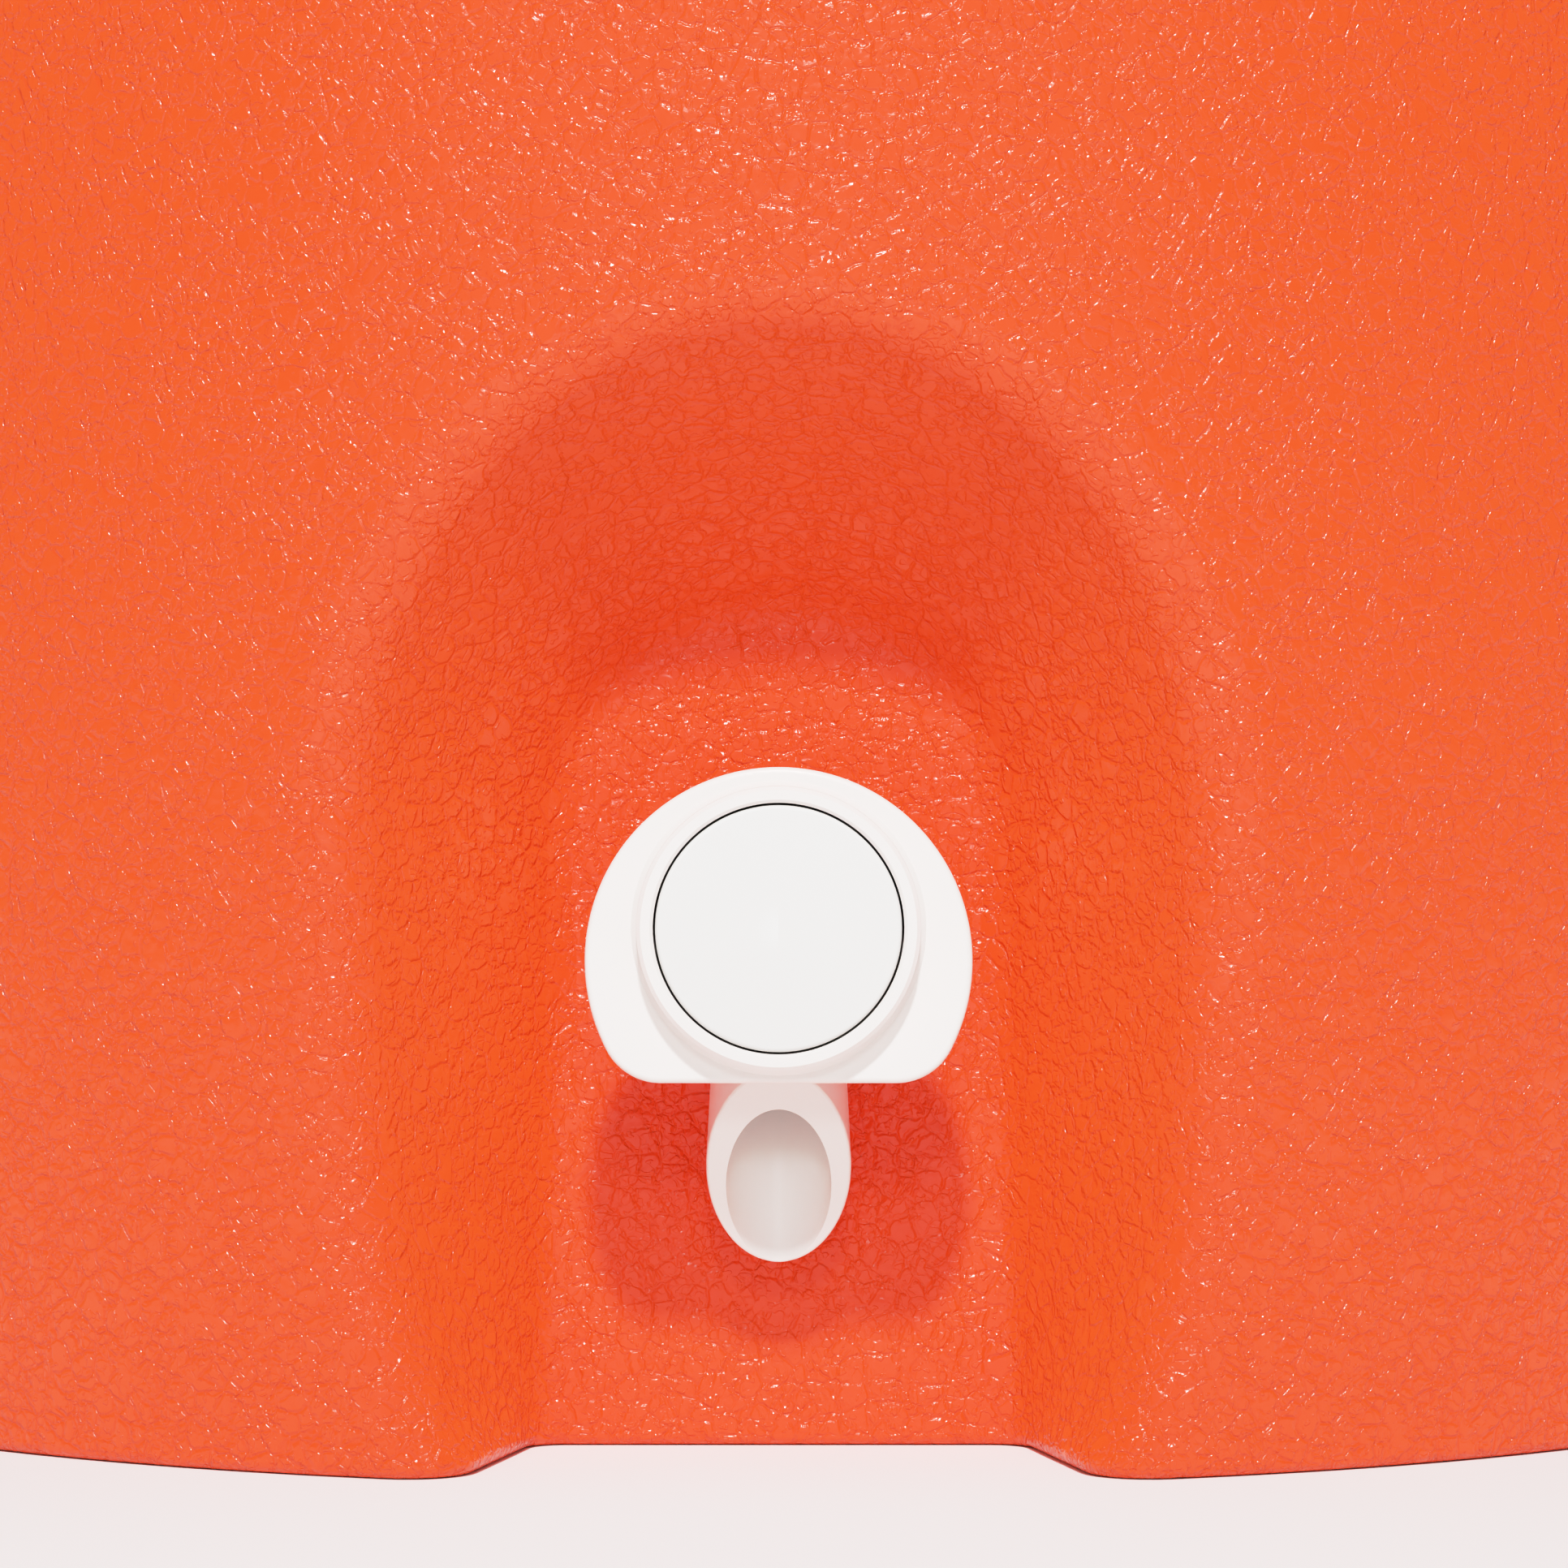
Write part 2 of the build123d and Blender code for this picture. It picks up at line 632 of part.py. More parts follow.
nut_front = inner_face - WASHER_THICKNESS
with BuildPart() as spigot_nut:
    with BuildSketch(spigot_plane(nut_front - NUT_THICKNESS)):
        RegularPolygon(NUT_ACROSS_FLATS / 2, 6, major_radius=False)
        Circle(SHANK_RADIUS + THREAD_CLEARANCE, mode=Mode.SUBTRACT)
    extrude(amount=NUT_THICKNESS)
    nut_corner = NUT_ACROSS_FLATS / math.sqrt(3)
    add(
        turned(
            (nut_front - NUT_THICKNESS, 0),
            (nut_front - NUT_THICKNESS, nut_corner - NUT_EDGE),
            (nut_front - NUT_THICKNESS + NUT_EDGE, nut_corner),
            (nut_front, nut_corner),
            (nut_front, 0),
        ),
        mode=Mode.INTERSECT,
    )
spigot_nut.part.label = "spigot_nut"
export_step(spigot_nut.part, "parts/spigot_nut.step")

with BuildPart() as stem_seal:
    add(ring(STEM_SEAL_BACK, CUP_BACK, STEM_SEAL_BORE, STEM_SEAL_RADIUS))
stem_seal.part.label = "stem_seal"
export_step(stem_seal.part, "parts/stem_seal.step")

with BuildPart() as spigot_faceplate:
    with BuildSketch(Plane.XZ.offset(-PANEL_Y + CUP_FRONT)) as plate_outline:
        with Locations((0, PLATE_CENTRE)):
            Circle(PLATE_RADIUS)
        with Locations((0, PLATE_FLAT)):
            Rectangle(
                3 * PLATE_RADIUS,
                PLATE_RADIUS,
                align=(Align.CENTER, Align.MAX),
                mode=Mode.SUBTRACT,
            )
        fillet(plate_outline.vertices().group_by(Axis.Z)[0], PLATE_CORNER)
    extrude(amount=PLATE_FRONT - CUP_FRONT)
    plate_rim = spigot_faceplate.faces().sort_by(Axis.Y)[0].outer_wire().edges()
    fillet(plate_rim, PLATE_EDGE_ROUND)
    add(
        turned(
            (SLEEVE_BACK, 0),
            (SLEEVE_BACK, SLEEVE_RADIUS),
            (PLATE_FRONT, SLEEVE_RADIUS),
            (PLATE_FRONT, COLLAR_BASE_RADIUS),
            (PLATE_FRONT + 0.8, COLLAR_RADIUS),
            (COLLAR_FRONT - 0.5, COLLAR_RADIUS - 0.1),
            (COLLAR_FRONT, COLLAR_RADIUS - 0.6),
            (COLLAR_FRONT, COLLAR_BORE + 0.4),
            (COLLAR_FRONT - 0.4, COLLAR_BORE),
            (COLLAR_FRONT - 0.4, 0),
        )
    )
    add(
        turned(
            (SLEEVE_BACK - 1, 0),
            (SLEEVE_BACK - 1, SLEEVE_BORE),
            (CUP_FRONT, SLEEVE_BORE),
            (CUP_FRONT, COLLAR_BORE),
            (COLLAR_FRONT + 1, COLLAR_BORE),
            (COLLAR_FRONT + 1, 0),
        ),
        mode=Mode.SUBTRACT,
    )
spigot_faceplate.part.label = "spigot_faceplate"
export_step(spigot_faceplate.part, "parts/spigot_faceplate.step")

with BuildPart() as push_button:
    with BuildSketch(SPIGOT_SIDE):
        with BuildLine():
            edge_back = COLLAR_FRONT - BUTTON_DOME - BUTTON_EDGE_ROUND
            edge_front = COLLAR_FRONT - BUTTON_DOME
            face_radius = BUTTON_RADIUS - BUTTON_EDGE_ROUND
            dome = TangentArc((COLLAR_FRONT, 0), (edge_front, face_radius), tangent=(0, 1))
            RadiusArc(dome @ 1, (edge_back, BUTTON_RADIUS), -BUTTON_EDGE_ROUND)
            Polyline(
                (edge_back, BUTTON_RADIUS),
                (BUTTON_SKIRT_BACK, BUTTON_RADIUS),
                (BUTTON_SKIRT_BACK, BUTTON_RADIUS - BUTTON_SKIRT_WALL),
                (COLLAR_FRONT - BUTTON_FACE, BUTTON_RADIUS - BUTTON_SKIRT_WALL),
                (COLLAR_FRONT - BUTTON_FACE, BUTTON_BOSS_RADIUS),
                (BUTTON_BOSS_BACK, BUTTON_BOSS_RADIUS),
                (BUTTON_BOSS_BACK, STEM_RADIUS),
                (STEM_FRONT, STEM_RADIUS),
                (STEM_FRONT, 0),
                (COLLAR_FRONT, 0),
            )
        make_face()
    revolve(axis=SPIGOT_AXIS)
push_button.part.label = "push_button"
export_step(push_button.part, "parts/push_button.step")

with BuildPart() as valve_stem:
    add(
        turned(
            (STEM_END, 0),
            (STEM_END, STEM_RADIUS - 0.5),
            (STEM_END + 0.5, STEM_RADIUS),
            (STEM_FRONT, STEM_RADIUS),
            (STEM_FRONT, 0),
        )
    )
valve_stem.part.label = "valve_stem"
export_step(valve_stem.part, "parts/valve_stem.step")

seal_front = SEAT - SEAL_GAP
seal_back = seal_front - SEAL_THICKNESS
with BuildPart() as valve_seal:
    add(
        turned(
            (seal_back, STEM_RADIUS),
            (seal_back, SEAL_RADIUS - 1),
            (seal_front - 1, SEAL_RADIUS),
            (seal_front, SEAL_RADIUS),
            (seal_front, STEM_RADIUS),
        )
    )
valve_seal.part.label = "valve_seal"
export_step(valve_seal.part, "parts/valve_seal.step")

with BuildPart() as seal_retainer:
    add(ring(seal_back - RETAINER_THICKNESS, seal_back, STEM_RADIUS, RETAINER_RADIUS))
seal_retainer.part.label = "seal_retainer"
export_step(seal_retainer.part, "parts/seal_retainer.step")

spring_back = CUP_BACK + SPRING_WIRE_RADIUS
spring_length = COLLAR_FRONT - BUTTON_FACE - SPRING_WIRE_RADIUS - spring_back
with BuildPart() as return_spring:
    with BuildLine():
        coil = Helix(
            spring_length / SPRING_TURNS,
            spring_length,
            SPRING_RADIUS,
            center=(0, PANEL_Y - spring_back, SPIGOT_HEIGHT),
            direction=(0, -1, 0),
        )
    with BuildSketch(Plane(origin=coil @ 0, z_dir=coil % 0)):
        Circle(SPRING_WIRE_RADIUS)
    sweep(path=coil, is_frenet=True)
return_spring.part.label = "return_spring"
export_step(return_spring.part, "parts/return_spring.step")


# ============================================================ swing handles
def swing_handle():
    """The +X handle as it hangs: two eyes, two arms and a thicker grip."""
    arm = HANDLE_SPAN
    bottom = HANDLE_PIVOT_HEIGHT - HANDLE_DROP
    with BuildPart() as handle:
        with BuildLine():
            bail = FilletPolyline(
                (HANDLE_PIVOT_X, -arm, HANDLE_PIVOT_HEIGHT),
                (HANDLE_PIVOT_X, -arm, bottom),
                (HANDLE_PIVOT_X, arm, bottom),
                (HANDLE_PIVOT_X, arm, HANDLE_PIVOT_HEIGHT),
                radius=HANDLE_CORNER,
            )
        start = Plane(origin=bail @ 0, x_dir=(1, 0, 0), z_dir=(0, 0, -1))
        with BuildSketch(start):
            RectangleRounded(HANDLE_DEPTH, HANDLE_WIDTH, HANDLE_EDGE)
        sweep(path=bail)
        with BuildSketch(Plane.YZ.offset(HANDLE_PIVOT_X)):
            half = GRIP_LENGTH / 2
            with BuildLine():
                ThreePointArc(
                    (-half, bottom + GRIP_END_RADIUS),
                    (0, bottom + GRIP_RADIUS),
                    (half, bottom + GRIP_END_RADIUS),
                )
                Polyline(
                    (half, bottom + GRIP_END_RADIUS),
                    (half, bottom),
                    (-half, bottom),
                    (-half, bottom + GRIP_END_RADIUS),
                )
            make_face()
        revolve(axis=Axis((HANDLE_PIVOT_X, 0, bottom), (0, 1, 0)))
        for side in (-1, 1):
            with BuildSketch(Plane.XZ.offset(-side * arm - HANDLE_WIDTH / 2)):
                with Locations((HANDLE_PIVOT_X, HANDLE_PIVOT_HEIGHT)):
                    Circle(EYE_RADIUS)
            extrude(amount=HANDLE_WIDTH)
        with BuildSketch(Plane.XZ.offset(-arm - HANDLE_WIDTH)):
            with Locations((HANDLE_PIVOT_X, HANDLE_PIVOT_HEIGHT)):
                Circle(PIN_RADIUS + PIN_RUNNING_CLEARANCE)
        extrude(amount=2 * (arm + HANDLE_WIDTH), mode=Mode.SUBTRACT)
    return handle.part


def handle_pin():
    """One hinge pin on the +X side at +Y: head outside the eye, tail inside the lug."""
    inner = LUG_CENTRE - LUG_WIDTH / 2 - PIN_TAIL
    head = HANDLE_SPAN + HANDLE_WIDTH / 2 + PIN_HEAD_GAP
    with BuildPart() as pin:
        with BuildSketch(Plane.XZ.offset(-head)):
            with Locations((HANDLE_PIVOT_X, HANDLE_PIVOT_HEIGHT)):
                Circle(PIN_RADIUS)
        extrude(amount=head - inner)
        with BuildSketch(Plane.XZ.offset(-head - PIN_HEAD_THICKNESS)):
            with Locations((HANDLE_PIVOT_X, HANDLE_PIVOT_HEIGHT)):
                Circle(PIN_HEAD_RADIUS)
        extrude(amount=PIN_HEAD_THICKNESS)
        fillet(pin.edges().filter_by(GeomType.CIRCLE).sort_by(Axis.Y)[-1], PIN_HEAD_ROUND)
    return pin.part


def pin_clip():
    """The push-on ring that keeps one hinge pin in its lug."""
    front = LUG_CENTRE - LUG_WIDTH / 2
    with BuildPart() as clip:
        with BuildSketch(Plane.XZ.offset(-front)):
            with Locations((HANDLE_PIVOT_X, HANDLE_PIVOT_HEIGHT)):
                Circle(CLIP_RADIUS)
                Circle(PIN_RADIUS + PIN_FIXED_CLEARANCE, mode=Mode.SUBTRACT)
        extrude(amount=CLIP_THICKNESS)
    return clip.part


with BuildPart() as handle_bracket_right:
    add(handle_bracket())
handle_bracket_right.part.label = "handle_bracket_right"
export_step(handle_bracket_right.part, "parts/handle_bracket_right.step")

with BuildPart() as handle_bracket_left:
    mirror(handle_bracket_right.part, about=Plane.YZ)
handle_bracket_left.part.label = "handle_bracket_left"
export_step(handle_bracket_left.part, "parts/handle_bracket_left.step")

with BuildPart() as bracket_screws_right:
    add(bracket_screws())
bracket_screws_right.part.label = "bracket_screws_right"
export_step(bracket_screws_right.part, "parts/bracket_screws_right.step")

with BuildPart() as bracket_screws_left:
    mirror(bracket_screws_right.part, about=Plane.YZ)
bracket_screws_left.part.label = "bracket_screws_left"
export_step(bracket_screws_left.part, "parts/bracket_screws_left.step")

with BuildPart() as handle_right:
    add(swing_handle())
handle_right.part.label = "handle_right"
export_step(handle_right.part, "parts/handle_right.step")

with BuildPart() as handle_left:
    mirror(swing_handle(), about=Plane.YZ)
handle_left.part.label = "handle_left"
export_step(handle_left.part, "parts/handle_left.step")

with BuildPart() as handle_pins_right:
    add(handle_pin())
    mirror(handle_pin(), about=Plane.XZ)
handle_pins_right.part.label = "handle_pins_right"
export_step(handle_pins_right.part, "parts/handle_pins_right.step")

with BuildPart() as handle_pins_left:
    mirror(handle_pins_right.part, about=Plane.YZ)
handle_pins_left.part.label = "handle_pins_left"
export_step(handle_pins_left.part, "parts/handle_pins_left.step")

with BuildPart() as pin_clips_right:
    add(pin_clip())
    mirror(pin_clip(), about=Plane.XZ)
pin_clips_right.part.label = "pin_clips_right"
export_step(pin_clips_right.part, "parts/pin_clips_right.step")

with BuildPart() as pin_clips_left:
    mirror(pin_clips_right.part, about=Plane.YZ)
pin_clips_left.part.label = "pin_clips_left"
export_step(pin_clips_left.part, "parts/pin_clips_left.step")


# ============================================================ lid
def lid_form(inset):
    """The lid's outside moved inwards by inset, open to the skirt's bottom edge."""
    radius = LID_RADIUS - inset
    shoulder = LID_SHOULDER_ROUND - inset
    deck = LID_DECK - inset
    with BuildPart() as form:
        with BuildSketch(Plane.XZ):
            with BuildLine():
                Polyline((0, LID_TOP - inset), (0, LID_SKIRT_BOTTOM), (radius, LID_SKIRT_BOTTOM))
                side = Line((radius, LID_SKIRT_BOTTOM), (radius, deck - shoulder))
                bend = RadiusArc(side @ 1, (radius - shoulder, deck), -shoulder)
                step = Line(bend @ 1, (LID_DECK_INNER_RADIUS - inset, deck))
                middle = (
                    (LID_DECK_INNER_RADIUS + LID_CROWN_RADIUS) / 2 - inset,
                    (LID_DECK + LID_CROWN) / 2 - inset,
                )
                crown_edge = (LID_CROWN_RADIUS - inset, LID_CROWN - inset)
                valley = TangentArc(step @ 1, middle, tangent=(-1, 0))
                crown = TangentArc(middle, crown_edge, tangent=valley % 1)
                TangentArc((0, LID_TOP - inset), crown @ 1, tangent=(1, 0))
            make_face()
        revolve(axis=Axis.Z)
    return form.part


with BuildPart() as lid_cover:
    add(lid_form(0))
    with PolarLocations(LID_RADIUS - LID_RIB_RADIUS + LID_RIB_PROUD, LID_RIBS):
        with Locations((0, 0, LID_RIB_BOTTOM)):
            Cylinder(
                LID_RIB_RADIUS,
                LID_RIB_LENGTH,
                align=(Align.CENTER, Align.CENTER, Align.MIN),
            )
    add(lid_form(LID_WALL), mode=Mode.SUBTRACT)
lid_cover.part.label = "lid_cover"
export_step(lid_cover.part, "parts/lid_cover.step")

flange_top = FLANGE_TOP + LID_FLANGE
with BuildPart() as lid_liner:
    with BuildSketch(Plane.XZ):
        with BuildLine():
            Polyline(
                (0, PLUG_BOTTOM),
                (PLUG_RADIUS, PLUG_BOTTOM),
                (PLUG_RADIUS, GASKET_BOTTOM),
                (PLUG_RADIUS - GASKET_GROOVE, GASKET_BOTTOM),
                (PLUG_RADIUS - GASKET_GROOVE, GASKET_BOTTOM + GASKET_WIDTH),
                (PLUG_RADIUS, GASKET_BOTTOM + GASKET_WIDTH),
                (PLUG_RADIUS, FLANGE_TOP),
                (LID_RADIUS - LID_WALL, FLANGE_TOP),
                (LID_RADIUS - LID_WALL, flange_top),
                (PLUG_RADIUS - PLUG_WALL, flange_top),
                (PLUG_RADIUS - PLUG_WALL, PLUG_BOTTOM + PLUG_FLOOR),
                (0, PLUG_BOTTOM + PLUG_FLOOR),
                close=True,
            )
        make_face()
    revolve(axis=Axis.Z)
    fillet(lid_liner.edges().group_by(Axis.Z)[0], PLUG_EDGE_ROUND)
lid_liner.part.label = "lid_liner"
export_step(lid_liner.part, "parts/lid_liner.step")

with BuildPart() as lid_foam:
    add(lid_form(LID_WALL))
    with BuildSketch(Plane.XY.offset(LID_SKIRT_BOTTOM)):
        Circle(LID_RADIUS)
    extrude(amount=flange_top - LID_SKIRT_BOTTOM, mode=Mode.SUBTRACT)
    with BuildSketch(Plane.XY.offset(PLUG_BOTTOM + PLUG_FLOOR)):
        Circle(PLUG_RADIUS - PLUG_WALL)
    extrude(amount=flange_top - PLUG_BOTTOM - PLUG_FLOOR)
lid_foam.part.label = "lid_foam"
export_step(lid_foam.part, "parts/lid_foam.step")

with BuildPart() as lid_gasket:
    with BuildSketch(Plane.XZ):
        with BuildLine():
            Polyline(
                (PLUG_RADIUS - GASKET_GROOVE, GASKET_BOTTOM),
                (PLUG_RADIUS, GASKET_BOTTOM),
                (GASKET_RADIUS, GASKET_BOTTOM + GASKET_BEVEL),
                (GASKET_RADIUS, GASKET_BOTTOM + GASKET_WIDTH - GASKET_BEVEL),
                (PLUG_RADIUS, GASKET_BOTTOM + GASKET_WIDTH),
                (PLUG_RADIUS - GASKET_GROOVE, GASKET_BOTTOM + GASKET_WIDTH),
                close=True,
            )
        make_face()
    revolve(axis=Axis.Z)
lid_gasket.part.label = "lid_gasket"
export_step(lid_gasket.part, "parts/lid_gasket.step")
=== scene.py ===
import math

import bpy
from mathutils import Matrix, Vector


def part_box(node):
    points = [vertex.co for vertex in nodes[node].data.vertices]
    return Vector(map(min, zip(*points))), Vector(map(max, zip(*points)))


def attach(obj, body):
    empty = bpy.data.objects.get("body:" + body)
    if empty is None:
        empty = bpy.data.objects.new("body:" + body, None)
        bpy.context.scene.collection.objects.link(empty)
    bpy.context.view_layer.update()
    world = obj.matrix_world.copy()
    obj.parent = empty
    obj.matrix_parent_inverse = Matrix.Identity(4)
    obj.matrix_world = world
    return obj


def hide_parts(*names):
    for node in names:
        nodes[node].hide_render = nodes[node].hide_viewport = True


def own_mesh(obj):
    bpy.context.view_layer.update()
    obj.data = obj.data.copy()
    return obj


# An insulated drink dispenser, in metres. +Z is up and the spigot faces -Y.
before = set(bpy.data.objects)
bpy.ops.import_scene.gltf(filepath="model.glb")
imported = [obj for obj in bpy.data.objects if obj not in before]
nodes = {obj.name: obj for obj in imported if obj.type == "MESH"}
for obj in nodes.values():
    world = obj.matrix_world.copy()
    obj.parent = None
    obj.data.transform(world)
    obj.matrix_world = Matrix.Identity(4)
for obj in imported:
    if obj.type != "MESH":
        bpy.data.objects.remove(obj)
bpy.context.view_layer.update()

# ---------------------------------------------------------------- places taken from the frame
PLATE_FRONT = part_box("spigot_faceplate")[0].y
BUTTON_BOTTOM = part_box("push_button")[0].z


# ---------------------------------------------------------------- shader building blocks
def node(tree, kind, settings=None, **sockets):
    """A shader node; each socket is given a value, or the output that feeds it."""
    made = tree.nodes.new("ShaderNode" + kind)
    for key, value in (settings or {}).items():
        setattr(made, key, value)
    for key, value in sockets.items():
        name = key.replace("_", " ")
        socket = made.inputs[int(key[1:])] if key[1:].isdigit() else made.inputs[name]
        if isinstance(value, bpy.types.NodeSocket):
            tree.links.new(value, socket)
        else:
            socket.default_value = value
    return made


def maths(tree, operation, a, b):
    """One arithmetic step."""
    return node(tree, "Math", {"operation": operation}, s0=a, s1=b).outputs[0]


def place(tree, stretch=(1, 1, 1)):
    """Position on the piece at rest, stretched along the axes."""
    where = node(tree, "TexCoord").outputs["Object"]
    return node(tree, "Mapping", None, Vector=where, Scale=stretch).outputs[0]


def noise(tree, where, scale, detail=2.0, rough=0.5):
    """Cloudy noise from 0 to 1."""
    made = node(tree, "TexNoise", None, Vector=where, Scale=scale, Detail=detail, Roughness=rough)
    return made.outputs[0]


def wander(tree, where, scale, reach, detail=2.0):
    """A position pushed about by noise, by up to about reach."""
    made = node(tree, "TexNoise", None, Vector=where, Scale=scale, Detail=detail, Roughness=0.55)
    middle = (0.5, 0.5, 0.5)
    centred = node(tree, "VectorMath", {"operation": "SUBTRACT"}, s0=made.outputs["Color"], s1=middle)
    push = node(tree, "VectorMath", {"operation": "SCALE"}, s0=centred.outputs[0], s3=2 * reach)
    return node(tree, "VectorMath", {"operation": "ADD"}, s0=where, s1=push.outputs[0]).outputs[0]


def ramp(tree, value, low, high, out_low=0.0, out_high=1.0):
    """A smooth step of value from low..high to out_low..out_high."""
    made = node(
        tree,
        "MapRange",
        {"interpolation_type": "SMOOTHSTEP"},
        s0=value,
        s1=low,
        s2=high,
        s3=out_low,
        s4=out_high,
    )
    return made.outputs[0]


def creases(tree, where, scale, width):
    """A net of creases: 0 along a crease's bottom, 1 on the skin between them."""
    made = node(tree, "TexVoronoi", {"feature": "DISTANCE_TO_EDGE"}, Vector=where, Scale=scale)
    return ramp(tree, made.outputs["Distance"], 0.0, width)


def two_colours(tree, factor, first, second):
    """A mix of two colours."""
    made = node(tree, "Mix", {"data_type": "RGBA"}, s0=factor)
    made.inputs[6].default_value = (*first, 1)
    made.inputs[7].default_value = (*second, 1)
    return made.outputs[2]


def bump(tree, height, depth):
    """A normal from a height of 0 to 1 that stands for depth metres."""
    return node(tree, "Bump", None, Height=height, Distance=depth, Strength=1.0).outputs[0]


def plastic(name, specular=0.5):
    """A new material and its main shader."""
    material = bpy.data.materials.new(name)
    material.use_nodes = True
    shader = material.node_tree.nodes["Principled BSDF"]
    shader.inputs["Specular IOR Level"].default_value = specular
    return material, material.node_tree, shader


def finish(tree, shader, colour, roughness, normal):
    """Wires a material's three results to its shader."""
    tree.links.new(colour, shader.inputs["Base Color"])
    tree.links.new(roughness, shader.inputs["Roughness"])
    tree.links.new(normal, shader.inputs["Normal"])


def broken(tree, net, where, scale, low, high):
    """A net of creases that fades out in cloudy patches."""
    return maths(tree, "MAXIMUM", net, ramp(tree, noise(tree, where, scale), low, high))


def stacked(tree, *layers):
    """The sum of layers, each a pair of a value and its share of the height."""
    (value, share), *rest = layers
    height = maths(tree, "MULTIPLY", value, share)
    for value, share in rest:
        height = maths(tree, "ADD", height, maths(tree, "MULTIPLY", value, share))
    return height


# ---------------------------------------------------------------- materials
def grained(name, skin, crease_shade, cell, depth, rough):
    """Moulded plastic with a leather grain: pebbles about cell across, parted by broken creases, and pips."""
    material, tree, shader = plastic(name, 0.40)
    shader.inputs["Diffuse Roughness"].default_value = 1.0
    where = place(tree)
    bent = wander(tree, where, 0.45 / cell, 0.45 * cell)
    bent = wander(tree, bent, 1.9 / cell, 0.17 * cell)
    folds = broken(tree, creases(tree, bent, 1.0 / cell, 0.13), where, 0.9 / cell, 0.54, 0.66)
    crossed = wander(tree, where, 1.1 / cell, 0.35 * cell)
    wrinkles = broken(tree, creases(tree, crossed, 2.0 / cell, 0.15), where, 0.7 / cell, 0.46, 0.60)
    swells = noise(tree, bent, 1.3 / cell, 1.0)
    pips = ramp(tree, noise(tree, bent, 2.8 / cell, 1.0), 0.60, 0.67)
    height = stacked(tree, (folds, 0.62), (wrinkles, 0.36), (pips, 0.46), (swells, 0.60))
    # Painted shade: the colour is darkened towards the crease colour along the folds, and partly along the
    # wrinkles, on top of the bump's own shading.
    shade = maths(tree, "MULTIPLY", folds, maths(tree, "ADD", maths(tree, "MULTIPLY", wrinkles, 0.4), 0.6))
    colour = two_colours(tree, shade, crease_shade, skin)
    roughness = ramp(tree, noise(tree, where, 1.5 / cell, 3.0), 0.2, 0.8, rough - 0.04, rough + 0.05)
    finish(tree, shader, colour, roughness, bump(tree, height, depth))
    return material


def moulded(name, base, shade, rough, ripple=0.00003, specular=0.5):
    """Smooth injection-moulded plastic: faint cloudiness and a very shallow surface ripple."""
    material, tree, shader = plastic(name, specular)
    where = place(tree)
    cloud = noise(tree, where, 30, 3.0)
    colour = two_colours(tree, ramp(tree, cloud, 0.3, 0.7), shade, base)
    roughness = ramp(tree, noise(tree, where, 260, 3.0), 0.25, 0.75, rough - 0.05, rough + 0.06)
    fine = maths(tree, "MULTIPLY", noise(tree, where, 1500, 2.0), 0.35)
    height = maths(tree, "ADD", noise(tree, where, 160, 2.0), fine)
    finish(tree, shader, colour, roughness, bump(tree, height, ripple))
    return material


def rubbery():
    """Soft grey-white seal rubber with a dusty surface."""
    material, tree, shader = plastic("seal_rubber", 0.35)
    where = place(tree)
    dust = noise(tree, where, 500, 4.0)
    colour = two_colours(tree, ramp(tree, dust, 0.35, 0.7), (0.50, 0.49, 0.47), (0.62, 0.61, 0.58))
    roughness = ramp(tree, dust, 0.2, 0.8, 0.62, 0.8)
    finish(tree, shader, colour, roughness, bump(tree, dust, 0.00006))
    return material


def foamy():
    """Rigid poured foam: small open cells in a straw yellow."""
    material, tree, shader = plastic("insulation_foam", 0.2)
    where = place(tree)
    cells = node(tree, "TexVoronoi", {"feature": "SMOOTH_F1"}, Vector=where, Scale=700).outputs["Distance"]
    colour = two_colours(tree, ramp(tree, cells, 0.1, 0.6), (0.70, 0.56, 0.30), (0.84, 0.72, 0.46))
    roughness = ramp(tree, cells, 0.0, 1.0, 0.8, 0.95)
    finish(tree, shader, colour, roughness, bump(tree, cells, 0.0003))
    return material


def drawn_steel(name, stretch):
    """Bright stainless steel with fine scratches, drawn out along the axes that stretch leaves at 1."""
    material, tree, shader = plastic(name)
    shader.inputs["Metallic"].default_value = 1.0
    where = place(tree, stretch)
    drawn = noise(tree, where, 900, 3.0)
    colour = two_colours(tree, drawn, (0.50, 0.50, 0.51), (0.68, 0.68, 0.70))
    roughness = ramp(tree, drawn, 0.2, 0.8, 0.22, 0.38)
    finish(tree, shader, colour, roughness, bump(tree, drawn, 0.00002))
    return material


# Each second colour is the first one a little darker: painted shade laid into the grain's creases.
SHELL_SKIN, SHELL_CREASE_SHADE = (0.93, 0.085, 0.014), (0.91, 0.078, 0.012)
HANDLE_SKIN, HANDLE_CREASE_SHADE = (0.91, 0.082, 0.013), (0.88, 0.074, 0.012)
LID_SKIN, LID_CREASE_SHADE = (0.86, 0.81, 0.77), (0.78, 0.73, 0.68)

leather = grained("shell_leather", SHELL_SKIN, SHELL_CREASE_SHADE, cell=0.0031, depth=0.00030, rough=0.21)
handle_grain = grained("handle_grain", HANDLE_SKIN, HANDLE_CREASE_SHADE, cell=0.0020, depth=0.00010, rough=0.30)
lid_grain = grained("lid_grain", LID_SKIN, LID_CREASE_SHADE, cell=0.0026, depth=0.00012, rough=0.34)
spigot_white = moulded("spigot_white", (0.88, 0.815, 0.775), (0.86, 0.795, 0.755), 0.36)
button_white = moulded("button_white", (0.76, 0.75, 0.725), (0.745, 0.735, 0.71), 0.52, specular=0.25)
liner_white = moulded("liner_white", (0.86, 0.83, 0.79), (0.83, 0.80, 0.76), 0.30, ripple=0.00006)
trim_white = moulded("trim_white", (0.85, 0.81, 0.77), (0.82, 0.78, 0.74), 0.40)
rubber = rubbery()
foam = foamy()
spring_steel = drawn_steel("spring_steel", (1, 6, 1))
screw_steel = drawn_steel("screw_steel", (1, 4, 4))

